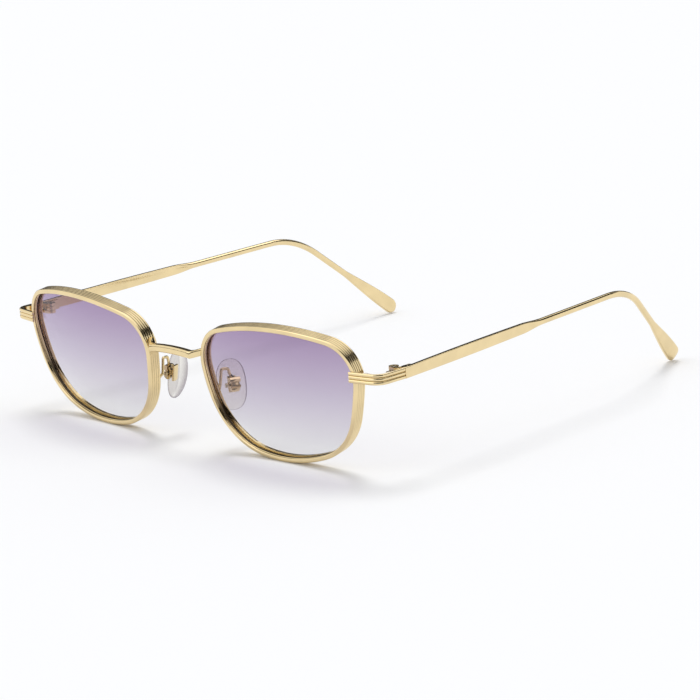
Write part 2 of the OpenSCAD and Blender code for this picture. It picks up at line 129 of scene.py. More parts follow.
# Heights between which the tint of the lenses changes.
LENS_LOW = 1.5
LENS_HIGH = 35.5

BRIDGE_FRONT = -1.475
BRIDGE_LOW = 24.4
BRIDGE_HALF = 7.7
BRIDGE_REACH = 10.5
BRIDGE_DEPTH = 2
BRIDGE_HEIGHT = 2
BRIDGE_RISE = 0.4
BRIDGE_LIFT = 0.8
FOOT_TURN = radians(40)
FOOT_THIN = 0.95
BRIDGE_TAPER = 0.7
BRIDGE_CROWN = 0.5
CROWN_FORM = 0.8
# Depth and width of the crease under the crown, at the bends of the bar and between them.
CREASE_BEND = (0.35, 0.22)
CREASE = (0.2, 0.08)
CREASE_DROP = 0.55

# End pieces.
LUG_Z = 25.84
LUG_HEIGHT = 2.8
LUG_THICKNESS = 1.4
LUG_BEND = 3.8
LUG_SLOPE = radians(10)
LUG_START = (61.5, 3.16)
LUG_TAB = 0.72
# Clearance of the thin tab from the rim, and where and over what length the strip thickens.
TAB_CLEAR = 0.2
TAB_START = 0.9
TAB_RUN = 1.6
LUG_EDGE = 0.2
# Shares of the ridges' painted shade at the bend and away from it, a painted dark reflection in the grooves
# there, and the distance over which they change.
LUG_SHARES = (2.5, 1.2)
LUG_FADE = (2, 4)
OUTER_X = 70.8
SEAM_Y = HINGE_Y
SEAM_GAP = 0.2

# Temples. The wire is a little thicker than in the source, as the photo shows it.
SPLAY = {"right": radians(4.6), "left": radians(1.8)}
RISE = {"right": radians(1.14), "left": radians(1.34)}
EAR_LEAN = {"right": radians(18.2), "left": radians(14.6)}
PLATE_LENGTH = 46
PLATE_HEIGHT = 3.1
PLATE_THICKNESS = 1.2
PLATE_NARROWS = 0.075
PLATE_CHAMFER = 0.1
NECK = 9
NECK_HALF = 1.325
WIRE_RADIUS = 0.87
WIRE_X = -0.7
TEMPLE_STRAIGHT = 83.2
EAR_BEND_RADIUS = 23.4
EAR_BEND = radians(42.6)
EAR_LENGTH = 31.1
EAR_START = 3
TIP_RADIUS = 2.2
TIP_THICKNESS = 1.2
TIP_CORE = 0.4
TIP_CORNER = 0.38
TIP_FORM = 0.4
# Where and over what length the wire becomes flat, and its edge less round.
TIP_FLATTENS = (4, 9)
TIP_SQUARES = (3, 12)

# Nose pads, their boxes and arms.
PAD_CENTRE = Vector((10.5, 9.8, 15.7))
PAD_FRAME = Matrix.Rotation(radians(-22), 3, "Z") @ Matrix.Rotation(radians(-8), 3, "Y")
PAD_WIDTH = 8
PAD_HEIGHT = 13.3
PAD_FRONT = -1.6
PAD_BACK = 1
PAD_BULGE = 1.3
BOX_MIDDLE = 2.65
BOX_TOP = 2.03
BOX_FRONT = 1.6
# Heights of the pad box with its share of width there. Round the slot it keeps its form.
BOX_WAIST = ((-1.8, 0.7), (-0.75, 0.86), (-0.6, 1), (-0.1, 1), (0.05, 0.78), (0.55, 0.78), (0.75, 1),
             (2.1, 1))
SLOT_HALF = 0.8
SLOT_BACK = 3.4
TURN_CENTRE = Vector((11.6, 7, 19.6))
ARM_FRAME = Matrix.Rotation(radians(-13), 3, "Z") @ Matrix.Rotation(radians(-9), 3, "X")
ARM_TURN = 1.15
ARM_LEG = 3.4
ARM_RADIUS = 0.38
ARM_FOOT = Vector((0.7, -1.3, -1.2))
ARM_REACH = 1.05
ARM_TOP = ((-1, 0.86), (0.7, 0.98), (1.2, -0.5))
ARM_CURVE = 0.45
ARM_SUNK = 0.3
# A direction that no wire runs along, and the points of a wire's section and the painted shade on one half of
# it.
WIRE_ASIDE = Vector((0.9, 0.1, 0.3))
WIRE_POINTS = 24
WIRE_SHADE = 0.8
# Rings of the pad in shares of its outline and of its depth: front, rounded edge, back.
PAD_RINGS = ([(0.08 + 0.82 * k / 10, 0) for k in range(11)]
             + [(0.955, 0.04), (0.99, 0.16), (1, 0.4), (1, 0.62), (0.99, 0.82), (0.955, 0.95), (0.9, 1)]
             + [(0.9 - 0.82 * k / 6, 1) for k in range(1, 7)])
PAD_POINTS = 64
PAD_SQUARENESS = 0.85
# Pieces that keep their form and get soft edges: name, body, width of the edge.
FITTINGS = (("upper_block", "front", 0.1), ("lower_block", "front", 0.1), ("front_leaf", "front", 0.12),
            ("temple_leaf", "temple", 0.1), ("pad_box", "front", 0.14), ("pad_insert", "pad", 0.06),
            ("rim_screw", "front", 0.04), ("hinge_screw", "front", 0.04), ("pad_screw", "front", 0.03))

# Camera: sensor, focal length and photo in pixels, azimuth, elevation and roll in radians, aim and distance.
SENSOR = 36
FOCAL_PIXELS = 3221.16
PHOTO_PIXELS = 700
CAMERA_TURNS = (0.8141, 0.2375, -0.065)
CAMERA_AIM = Vector((23.741, 40, 19.961))
CAMERA_DISTANCE = 838.5
# Half the side of the floor and its gap under the glasses, in metres.
FLOOR_HALF = 6
FLOOR_GAP = 0.00002
# Level of the soft light from all round, and the lamps: name, bearing and height they shine from and width of
# their disc in degrees, strength, and whether the polish shows them.
AMBIENT = 0.62
LAMPS = (("key", 137, 66, 24, 0.96, False), ("over", 90, 64, 46, 0.4, True),
         ("fill", -110, 40, 40, 0.25, True))
# Dark screens: name, first and last bearing, lowest and highest height in degrees, distance in metres, shade.
SCREENS = (("screen_side", 140, 176, -4, 52, 0.5, 0.07), ("screen_back", 100, 139, 5, 36, 1.5, 0.01),
           ("screen_over", -60, 92, 26, 45, 1.2, 0.01), ("screen_camera", -78, -8, 1, 27, 1.4, 0.05))
# Step from node to node in the editor.
NODE_PITCH = 200


class SunglassesSizes(bpy.types.PropertyGroup):
    lip_round: FloatProperty(
        name="Lip rounding", description="Height of the rounding on the front lip of the rims",
        default=0.3 * MM, unit="LENGTH", min=0, max=0.6 * MM)
    rib_depth: FloatProperty(
        name="Rib depth", description="Depth of the grooves between the ribs round the rims",
        default=0.13 * MM, unit="LENGTH", min=0.05 * MM, max=0.3 * MM)
    edge_round: FloatProperty(
        name="Edge rounding", description="Radius of the rounded metal edges",
        default=0.22 * MM, unit="LENGTH", min=0, max=0.4 * MM)
    ridge_depth: FloatProperty(
        name="Ridge depth", description="Depth of the grooves between the end piece ridges",
        default=0.28 * MM, unit="LENGTH", min=0, max=0.4 * MM)


class SunglassesColours(bpy.types.PropertyGroup):
    gold: FloatVectorProperty(
        name="Gold", description="Colour of the plated metal", default=(0.84, 0.675, 0.385),
        subtype="COLOR", size=3, min=0, max=1)
    lens_top: FloatVectorProperty(
        name="Lens top", description="Tint at the top of the lenses", default=(0.38, 0.28, 0.44),
        subtype="COLOR", size=3, min=0, max=1)
    lens_middle: FloatVectorProperty(
        name="Lens middle", description="Tint half way down the lenses", default=(0.57, 0.515, 0.62),
        subtype="COLOR", size=3, min=0, max=1)
    lens_bottom: FloatVectorProperty(
        name="Lens bottom", description="Tint at the bottom", default=(0.80, 0.80, 0.81),
        subtype="COLOR", size=3, min=0, max=1)
    floor: FloatVectorProperty(
        name="Floor", description="Colour of the floor", default=(0.94, 0.94, 0.945),
        subtype="COLOR", size=3, min=0, max=1)


def unit(angle):
    """The flat direction at an angle."""
    return Vector((cos(angle), sin(angle)))


def place(point):
    """Takes a point in millimetres, measured from the front of the frame, to the frame of the model."""
    return Vector((point[0], point[1] + FRONT_SHIFT, point[2])) * MM


def eye_to_front(point):
    """Takes a point from the frame of the right eyewire to the front of the glasses, in millimetres."""
    return EYE + Matrix.Rotation(WRAP, 3, "Z") @ (Matrix.Rotation(TILT, 3, "X") @ Vector(point))


def side_centre(i):
    """Middle of the arc of a long side."""
    axis, reach, lean, radius = OUTLINE_SIDES[i % 4]
    return unit(radians(axis)) * reach - unit(radians(axis + lean)) * radius


def corner_centre(i):
    """Middle of the arc of the corner after a long side."""
    i %= 4
    j = (i + 1) % 4
    c0, r0 = side_centre(i), OUTLINE_SIDES[i][3] - OUTLINE_CORNERS[i]
    c1, r1 = side_centre(j), OUTLINE_SIDES[j][3] - OUTLINE_CORNERS[i]
    d = c1 - c0
    along = (r0 * r0 - r1 * r1 + d.length_squared) / (2 * d.length)
    aside = sqrt(r0 * r0 - along * along)
    return c0 + d * along / d.length + Vector((-d.y, d.x)) * aside / d.length


def outline(step=1.0):
    """Points of the rim outline with the way out, about step mm apart, anticlockwise from the temple side."""
    found = []
    for i in range(4):
        here, before, after = side_centre(i), corner_centre(i - 1), corner_centre(i)
        nxt = side_centre(i + 1)
        for centre, radius, start, end in (
                (here, OUTLINE_SIDES[i][3], before - here, after - here),
                (after, OUTLINE_CORNERS[i], after - here, after - nxt)):
            a = atan2(start.y, start.x)
            sweep = (atan2(end.y, end.x) - a) % (2 * pi)
            steps = max(2, ceil(sweep * radius / step))
            for k in range(steps):
                out = unit(a + sweep * k / steps)
                found.append((centre + out * radius, out))
    return found


def sag(x, z, depth):
    """Distance of the curved front behind the flat plane of the eyewire, at a depth behind its front face."""
    return BASE_RADIUS - sqrt((BASE_RADIUS - depth) ** 2 - x * x - z * z)


def finish_mesh(name, mesh, material, sharp=None):
    """A plain object of a closed mesh, with its faces turned outwards."""
    work = bmesh.new()
    work.from_mesh(mesh)
    bmesh.ops.remove_doubles(work, verts=work.verts, dist=1e-7)
    bmesh.ops.recalc_face_normals(work, faces=work.faces)
    if work.calc_volume(signed=True) < 0:
        bmesh.ops.reverse_faces(work, faces=work.faces)
    for face in work.faces:
        face.smooth = True
    if sharp is not None:
        for edge in work.edges:
            edge.smooth = len(edge.link_faces) != 2 or edge.calc_face_angle(0) < radians(sharp)
    work.to_mesh(mesh)
    work.free()
    mesh.name = name
    mesh.materials.clear()
    mesh.materials.append(material)
    return add_object(name, mesh)


def loft(rings):
    """A closed mesh through rings of points in millimetres from the front of the glasses, with end caps."""
    mesh = bpy.data.meshes.new("loft")
    count = len(rings[0])
    verts = [place(p) for ring in rings for p in ring]
    faces = []
    for start in range(0, len(verts) - count, count):
        for k in range(count):
            on = (k + 1) % count
            faces.append((start + k, start + on, start + count + on, start + count + k))
    faces.append(tuple(range(count - 1, -1, -1)))
    faces.append(tuple(range(len(verts) - count, len(verts))))
    mesh.from_pydata(verts, [], faces)
    return mesh


def on_side(rings, side):
    """Rings of the right side, or the same mirrored for the left one."""
    return [[Vector((SIDES[side] * p[0], p[1], p[2])) for p in ring] for ring in rings]


def rounded_box(half_width, half_height, corner, steps=5):
    """Points of a rounded rectangle, anticlockwise. With a corner as large as both halves it is a circle."""
    corner = min(corner, half_width, half_height)
    found = []
    for quarter in range(4):
        x = (half_width - corner) * (1 if quarter in (0, 3) else -1)
        y = (half_height - corner) * (1 if quarter in (0, 1) else -1)
        for k in range(steps + 1):
            a = pi / 2 * (quarter + k / steps)
            found.append((x + corner * cos(a), y + corner * sin(a)))
    return found


def reeds(count, pitch, depth, shades):
    """Section of reeds side by side, as (inset, place, painted shade): round crowns, with painted shade in
    the grooves between them.
    """
    round_radius = (pitch * pitch / 4 + depth * depth) / (2 * depth)
    found = []
    for i in range(count):
        for k in range(-REED_STEPS, REED_STEPS + 1):
            across = REED_FILL * k / REED_STEPS * pitch
            inset = round_radius - sqrt(round_radius ** 2 - across * across)
            from_edge = REED_STEPS - abs(k) + 1
            shade = shades[from_edge] if from_edge < len(shades) else 0.0
            found.append((inset, pitch * (i + 0.5) + across, shade))
        if i < count - 1:
            found.append((depth + REED_GROOVE, pitch * (i + 1), shades[0]))
    return found


def move(x, y, z=0):
    return Matrix.Translation((x, y, z))


def blend(start, end, share):
    """Eases from start to end as share goes from 0 to 1."""
    share = min(max(share, 0), 1)
    return start + (end - start) * (1 - cos(pi * share)) / 2


def pad_place(v):
    """From the frame of the right nose pad to the front of the glasses."""
    return PAD_CENTRE + PAD_FRAME @ Vector(v)


def arm_place(v):
    """From the frame of the turn of the right pad arm to the front of the glasses."""
    return TURN_CENTRE + ARM_FRAME @ Vector(v)


def rounded_path(points, radius, steps=6):
    """The same route with its corners rounded by short curves."""
    found = [Vector(points[0])]
    for before, here, after in zip(points, points[1:], points[2:]):
        here = Vector(here)
        back, on = Vector(before) - here, Vector(after) - here
        start = here + back.normalized() * min(radius, back.length * 0.45)
        end = here + on.normalized() * min(radius, on.length * 0.45)
        for k in range(steps + 1):
            t = k / steps
            found.append(start * (1 - t) ** 2 + here * 2 * t * (1 - t) + end * t * t)
    return found + [Vector(points[-1])]


def pad_matrix(side):
    """From the frame of a nose pad, in millimetres, to the frame of the model."""
    centre = PAD_CENTRE + Vector((0, FRONT_SHIFT, 0))
    found = Matrix.Scale(MM, 4) @ Matrix.Translation(centre) @ PAD_FRAME.to_4x4()
    return found if side == "right" else Matrix.Scale(-1, 4, (1, 0, 0)) @ found


def draw_in(work, side):
    """Gives a pad box its waist and its narrow foot."""
    to_model = pad_matrix(side)
    to_pad = to_model.inverted()
    up = (to_model.to_3x3() @ Vector((0, 0, 1))).normalized()
    for height, share in BOX_WAIST:
        bmesh.ops.bisect_plane(work, geom=work.verts[:] + work.edges[:] + work.faces[:], dist=1e-7,
                               plane_co=to_model @ Vector((0, 0, height)), plane_no=up)
    for corner in work.verts:
        spot = to_pad @ corner.co
        if abs(spot.y) < SLOT_HALF and spot.x < SLOT_BACK:
            continue
        for (low, narrow), (high, wide) in zip(BOX_WAIST, BOX_WAIST[1:]):
            if low - NEAR <= spot.z <= high + NEAR:
                share = narrow + (wide - narrow) * (spot.z - low) / (high - low)
                spot.y *= share
                spot.x = BOX_FRONT + (spot.x - BOX_FRONT) * share
                break
        corner.co = to_model @ spot


def softened(name, width, material, waisted=None):
    """A copy of a carried-over piece with soft edges that stands for it. A pad box gets its waist first."""
    source = frame["nodes"][name]
    mesh = source.data.copy()
    mesh.transform(source.matrix_world)
    work = bmesh.new()
    work.from_mesh(mesh)
    bmesh.ops.remove_doubles(work, verts=work.verts, dist=2e-6)
    bmesh.ops.dissolve_limit(work, angle_limit=radians(1), verts=work.verts, edges=work.edges)
    if waisted:
        draw_in(work, waisted)
    sharp = [e for e in work.edges if len(e.link_faces) == 2 and e.calc_face_angle(0) > radians(35)]
    bmesh.ops.bevel(work, geom=sharp, offset=width * MM, offset_type="OFFSET", segments=2, profile=0.6,
                    affect="EDGES", clamp_overlap=True)
    bmesh.ops.triangulate(work, faces=[f for f in work.faces if len(f.verts) > 4])
    work.to_mesh(mesh)
    work.free()
    piece = finish_mesh(name + "_finished", mesh, material, sharp=40)
    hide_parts(name)
    return piece


def add_object(name, data):
    """An object for a mesh, a lamp or a camera, in the scene."""
    made = bpy.data.objects.new(name, data)
    bpy.context.scene.collection.objects.link(made)
    return made


def node(tree, kind, inputs=None, **settings):
    """Adds a node to the right of the others, with its own settings and with values for its inputs."""
    made = tree.nodes.new(kind)
    made.location.x = NODE_PITCH * len(tree.nodes)
    for key, value in settings.items():
        setattr(made, key, value)
    for key, value in (inputs or {}).items():
        made.inputs[key].default_value = value
    return made


def link(source, output, target, socket):
    """Joins an output of one node to an input of another node of the same tree."""
    source.id_data.links.new(source.outputs[output], target.inputs[socket])


def sweep_tree(on_sphere):
    """Geometry Nodes that sweep a profile along a path, and can lay the result on the lenses' sphere."""
    name = "eyewire_sweep" if on_sphere else "strip_sweep"
    tree = bpy.data.node_groups.get(name)
    if tree:
        return tree
    tree = bpy.data.node_groups.new(name, "GeometryNodeTree")

    def socket(label, kind, in_out="INPUT"):
        return tree.interface.new_socket(label, in_out=in_out, socket_type="NodeSocket" + kind)

    def maths(operation, *terms):
        """A sum over numbers and outputs, which are pairs of a node and a name."""
        made = node(tree, "ShaderNodeMath", operation=operation)
        for k, term in enumerate(terms):
            if isinstance(term, tuple):
                link(*term, made, k)
            else:
                made.inputs[k].default_value = term
        return made, "Value"

    socket("Geometry", "Geometry")
    socket("Profile", "Object")
    if on_sphere:
        socket("Base radius", "Float").default_value = BASE_RADIUS * MM
        socket("Turn", "Rotation")
        socket("Centre", "Vector")
    socket("Material", "Material")
    socket("Geometry", "Geometry", "OUTPUT")
    given = node(tree, "NodeGroupInput")
    path = node(tree, "GeometryNodeMeshToCurve")
    side = node(tree, "GeometryNodeInputNamedAttribute", {"Name": "outward"}, data_type="FLOAT_VECTOR")
    turn = node(tree, "GeometryNodeSetCurveNormal", mode="FREE")
    info = node(tree, "GeometryNodeObjectInfo")
    section = node(tree, "GeometryNodeMeshToCurve")
    sweep = node(tree, "GeometryNodeCurveToMesh", {"Fill Caps": True})
    link(given, "Geometry", path, "Mesh")
    link(path, "Curve", turn, "Curve")
    link(side, "Attribute", turn, "Normal")
    link(given, "Profile", info, "Object")
    link(info, "Geometry", section, "Mesh")
    link(turn, "Curve", sweep, "Curve")
    link(section, "Curve", sweep, "Profile Curve")
    if on_sphere:
        where = node(tree, "GeometryNodeInputPosition")
        parts = node(tree, "ShaderNodeSeparateXYZ")
        link(where, "Position", parts, "Vector")
        radius = (given, "Base radius")
        squares = maths("POWER", maths("SUBTRACT", radius, (parts, "Y")), 2.0)
        across, up = maths("POWER", (parts, "X"), 2.0), maths("POWER", (parts, "Z"), 2.0)
        left = maths("SUBTRACT", maths("SUBTRACT", squares, across), up)
        depth = maths("SUBTRACT", radius, maths("SQRT", left))
        joined = node(tree, "ShaderNodeCombineXYZ")
        link(parts, "X", joined, "X")
        link(*depth, joined, "Y")
        link(parts, "Z", joined, "Z")
        lay = node(tree, "GeometryNodeSetPosition")
        link(sweep, "Mesh", lay, "Geometry")
        link(joined, "Vector", lay, "Position")
        swept = node(tree, "GeometryNodeTransform")
        link(lay, "Geometry", swept, "Geometry")
        link(given, "Turn", swept, "Rotation")
        link(given, "Centre", swept, "Translation")
    else:
        thin = node(tree, "GeometryNodeInputNamedAttribute", {"Name": "thinning"}, data_type="FLOAT_VECTOR")
        inner = node(tree, "GeometryNodeInputNamedAttribute", {"Name": "inner"}, data_type="FLOAT")
        shift = node(tree, "ShaderNodeVectorMath", operation="SCALE")
        swept = node(tree, "GeometryNodeSetPosition")
        link(thin, "Attribute", shift, 0)
        link(inner, "Attribute", shift, "Scale")
        link(sweep, "Mesh", swept, "Geometry")
        link(shift, "Vector", swept, "Offset")
    real = node(tree, "GeometryNodeRealizeInstances")
    paint = node(tree, "GeometryNodeSetMaterial")
    link(swept, "Geometry", real, "Geometry")
    link(real, "Geometry", paint, "Geometry")
    link(given, "Material", paint, "Material")
    link(paint, "Geometry", node(tree, "NodeGroupOutput"), "Geometry")
    return tree


def path_object(name, points, closed=True, **attributes):
    """A wire object through points in metres. Vectors and numbers given by name are stored on its points."""
    mesh = bpy.data.meshes.new(name)
    count = len(points)
    mesh.from_pydata(points, [(i, (i + 1) % count) for i in range(count if closed else count - 1)], [])
    for key, values in attributes.items():
        plain = isinstance(values[0], (int, float))
        stored = mesh.attributes.new(key, "FLOAT" if plain else "FLOAT_VECTOR", "POINT")
        for point, value in zip(stored.data, values):
            setattr(point, "value" if plain else "vector", value)
    return add_object(name, mesh)


def run_sweep(name, path, profile, material, **values):
    """Sweeps a profile along a path into a plain piece. Both wires are used up."""
    tree = sweep_tree("Centre" in values)
    modifier = path.modifiers.new("sweep", "NODES")
    modifier.node_group = tree
    values.update(Profile=profile, Material=material)
    for item in tree.interface.items_tree:
        if item.item_type == "SOCKET" and item.in_out == "INPUT" and item.name in values:
            modifier[item.identifier] = values[item.name]
    bpy.context.view_layer.update()
    shown = path.evaluated_get(bpy.context.evaluated_depsgraph_get())
    mesh = bpy.data.meshes.new_from_object(shown)
    for made in (path, profile):
        bpy.data.objects.remove(made)
    return finish_mesh(name, mesh, material, sharp=40)


def sweep_round_eye(name, section, material, side, step=0.8):
    """Sweeps a section, given as (inset, depth, shade) with lengths in mm, round the outline of one eye."""
    sign = SIDES[side]
    points, outward = [], []
    for p, out in outline(step):
        points.append(Vector((sign * p.x, 0, p.y)) * MM)
        outward.append((sign * out.x, 0, out.y))
    if sign < 0:
        points.reverse()
        outward.reverse()
    path = path_object("path", points, outward=outward)
    profile = path_object("profile", [(-inset * MM, depth * MM, 0) for inset, depth, shade in section],
                          cavity=[shade for inset, depth, shade in section])
    turn = (Matrix.Rotation(sign * WRAP, 3, "Z") @ Matrix.Rotation(TILT, 3, "X")).to_euler()
    return run_sweep(name, path, profile, material, **{
        "Base radius": BASE_RADIUS * MM, "Turn": turn, "Centre": place((sign * EYE.x, EYE.y, EYE.z))})


def sweep_wire(name, route, radius, material):
    """A round wire along a route, given in mm from the front of the glasses."""
    outward = []
    for i, p in enumerate(route):
        along = (route[min(i + 1, len(route) - 1)] - route[max(i - 1, 0)]).normalized()
        outward.append(along.cross(WIRE_ASIDE).normalized())
    path = path_object("path", [place(p) for p in route], closed=False, outward=outward)
    turns = [2 * pi * k / WIRE_POINTS for k in range(WIRE_POINTS)]
    points = [unit(a).to_3d() * radius * MM for a in turns]
    # One half of the wire's section gets painted shade, a dark stripe along its length.
    profile = path_object("profile", points, cavity=[WIRE_SHADE * max(0, sin(a)) ** 0.5 for a in turns])
    return run_sweep(name, path, profile, material)


def new_material(name):
    """The material, its empty tree and its output. Where it is there already, the last two are None."""
    material = bpy.data.materials.get(name)
    if material:
        return material, None, None
    material = bpy.data.materials.new(name)
    material.use_nodes = True
    tree = material.node_tree
    tree.nodes.clear()
    return material, tree, node(tree, "ShaderNodeOutputMaterial")


def matt_material(name, colour):
    """An even matt colour, for the floor and the screens."""
    material, tree, out = new_material(name)
    if tree:
        link(node(tree, "ShaderNodeBsdfDiffuse", {"Color": (*colour, 1)}), "BSDF", out, "Surface")
    return material


def noise(coords, scale, detail=2):
    """A noise texture that lies still on the piece."""
    made = node(coords.id_data, "ShaderNodeTexNoise", {"Scale": scale, "Detail": detail})
    link(coords, "Object", made, "Vector")
    return made


def spread(texture, low, high):
    """Brings a texture between two values."""
    made = node(texture.id_data, "ShaderNodeMapRange", {"To Min": low, "To Max": high})
    link(texture, "Fac", made, "Value")
    return made


def ramp(source, output, *stops):
    """A colour ramp over an output of a node, with its stops as (position, colour)."""
    made = node(source.id_data, "ShaderNodeValToRGB")
    elements = made.color_ramp.elements
    while len(elements) < len(stops):
        elements.new(0.5)
    for element, (position, colour) in zip(elements, stops):
        element.position = position
        element.color = (*colour, 1)
    link(source, output, made, "Fac")
    return made


def see_through(out, source, output, gloss, ior):
    """Mixes a coloured transparent shader with a gloss that grows where a front face turns away."""
    tree = out.id_data
    clear = node(tree, "ShaderNodeBsdfTransparent")
    angle = node(tree, "ShaderNodeFresnel", {"IOR": ior})
    faces = node(tree, "ShaderNodeNewGeometry")
    outer = node(tree, "ShaderNodeMath", {0: 1.0}, operation="SUBTRACT")
    share = node(tree, "ShaderNodeMath", operation="MULTIPLY")
    mix = node(tree, "ShaderNodeMixShader")
    link(source, output, clear, "Color")
    link(faces, "Backfacing", outer, 1)
    link(angle, "Fac", share, 0)
    link(outer, "Value", share, 1)
    link(share, "Value", mix, "Fac")
    link(clear, "BSDF", mix, 1)
    link(gloss, "BSDF", mix, 2)
    link(mix, "Shader", out, "Surface")


def gold_metal():
    """Pale gold plating: small changes of tone and polish, a very fine grain, and painted shade in grooves
    and on marked points.
    """
    material, tree, out = new_material("pale_gold_plating")
    if tree is None:
        return material
    gold = Vector(bpy.context.scene.sunglasses_colours.gold)
    shader = node(tree, "ShaderNodeBsdfPrincipled", {"Metallic": 1.0})
    coords = node(tree, "ShaderNodeTexCoord")
    tone = ramp(noise(coords, 180, 4), "Fac", (0.3, gold * 0.93), (0.7, gold * 1.05))
    polish = spread(noise(coords, 900, 3), 0.08, 0.15)
    bump = node(tree, "ShaderNodeBump", {"Strength": 0.05, "Distance": 0.05 * MM})
    # The painted shade stored on the points mixes the gold towards a dark brown and makes it a little
    # rougher.
    cavity = node(tree, "ShaderNodeAttribute", attribute_name="cavity")
    groove = node(tree, "ShaderNodeMix", {"B": (0.045, 0.03, 0.018, 1)}, data_type="RGBA")
    dull = node(tree, "ShaderNodeMath", {1: 0.3}, operation="MULTIPLY_ADD")
    link(cavity, "Fac", groove, "Factor")
    link(tone, "Color", groove, "A")
    link(groove, "Result", shader, "Base Color")
    link(cavity, "Fac", dull, 0)
    link(polish, "Result", dull, 2)
    link(dull, "Value", shader, "Roughness")
    link(noise(coords, 4000), "Fac", bump, "Height")
    link(bump, "Normal", shader, "Normal")
    link(shader, "BSDF", out, "Surface")
    return material


def screw_metal():
    """Plated screw steel, a little greyer than the gold."""
    material, tree, out = new_material("screw_steel")
    if tree is None:
        return material
    shader = node(tree, "ShaderNodeBsdfPrincipled", {"Metallic": 1.0})
    texture = noise(node(tree, "ShaderNodeTexCoord"), 1500)
    tone = ramp(texture, "Fac", (0, (0.60, 0.52, 0.36)), (1, (0.74, 0.66, 0.48)))
    link(tone, "Color", shader, "Base Color")
    link(spread(texture, 0.22, 0.36), "Result", shader, "Roughness")
    link(shader, "BSDF", out, "Surface")
    return material


def lens_tint():
    """Tinted lens, darkest at its top, with a thin gloss. Each of its two faces takes half of the tint."""
    material, tree, out = new_material("graded_lens_tint")
    if tree is None:
        return material
    colours = bpy.context.scene.sunglasses_colours
    coords = node(tree, "ShaderNodeTexCoord")
    parts = node(tree, "ShaderNodeSeparateXYZ")
    height = node(tree, "ShaderNodeMapRange", {"From Min": LENS_LOW * MM, "From Max": LENS_HIGH * MM})
    soft = node(tree, "ShaderNodeMath", {1: 0.02, 2: -0.01}, operation="MULTIPLY_ADD")
    level = node(tree, "ShaderNodeMath", operation="ADD")
    link(coords, "Object", parts, "Vector")
    link(parts, "Z", height, "Value")
    link(noise(coords, 60), "Fac", soft, 0)
    link(height, "Result", level, 0)
    link(soft, "Value", level, 1)
    stops = ((0.1, colours.lens_bottom), (0.5, colours.lens_middle), (0.95, colours.lens_top))
    tone = ramp(level, "Value", *((at, [sqrt(c) for c in colour]) for at, colour in stops))
    gloss = node(tree, "ShaderNodeBsdfPrincipled",
                 {"Metallic": 1.0, "Roughness": 0.04, "Base Color": (0.95, 0.94, 1.0, 1)})
    see_through(out, tone, "Color", gloss, ior=1.35)
    return material


def clear_silicone():
    """Soft clear plastic of the nose pads: see-through, with painted shade where it curves away, standing in
    for its dark refracted edges, and glossy there.
    """
    material, tree, out = new_material("clear_silicone")
    if tree is None:
        return material
    texture = noise(node(tree, "ShaderNodeTexCoord"), 300, 3)
    skin = ramp(texture, "Fac", (0, (0.93, 0.92, 0.88)), (1, (0.99, 0.985, 0.97)))
    # Painted shade towards the edges, where the pad curves away from view.
    bend = node(tree, "ShaderNodeLayerWeight", {"Blend": 0.5})
    rim = node(tree, "ShaderNodeMapRange", {"From Min": 0.4, "From Max": 0.9},
               interpolation_type="SMOOTHSTEP")
    tint = node(tree, "ShaderNodeMix", {"B": (0.22, 0.17, 0.22, 1)}, data_type="RGBA")
    gloss = node(tree, "ShaderNodeBsdfPrincipled", {"Metallic": 1.0, "Base Color": (0.96, 0.95, 0.93, 1)})
    link(bend, "Facing", rim, "Value")
    link(rim, "Result", tint, "Factor")
    link(skin, "Color", tint, "A")
    link(spread(texture, 0.05, 0.16), "Result", gloss, "Roughness")
    see_through(out, tint, "Result", gloss, ior=1.3)
    return material


def toward(bearing, height):
    """The direction at a bearing from +X and a height over the floor, both in degrees."""
    turn, up = radians(bearing), radians(height)
    return Vector((cos(turn) * cos(up), sin(turn) * cos(up), sin(up)))


def dark_screen(name, first, last, low, high, distance, shade, steps=12):
    """A curved screen round the glasses, outside the picture. Only the polished metal shows it."""
    mesh = bpy.data.meshes.new(name)
    corners = [toward(first + (last - first) * k / steps, height) * distance
               for k in range(steps + 1) for height in (low, high)]
    mesh.from_pydata(corners, [], [(2 * k, 2 * k + 2, 2 * k + 3, 2 * k + 1) for k in range(steps)])
    screen = add_object(name, mesh)
    for rays in ("camera", "diffuse", "shadow", "transmission"):
        setattr(screen, "visible_" + rays, False)
    mesh.materials.append(matt_material(name, (shade, shade, shade)))
    return screen


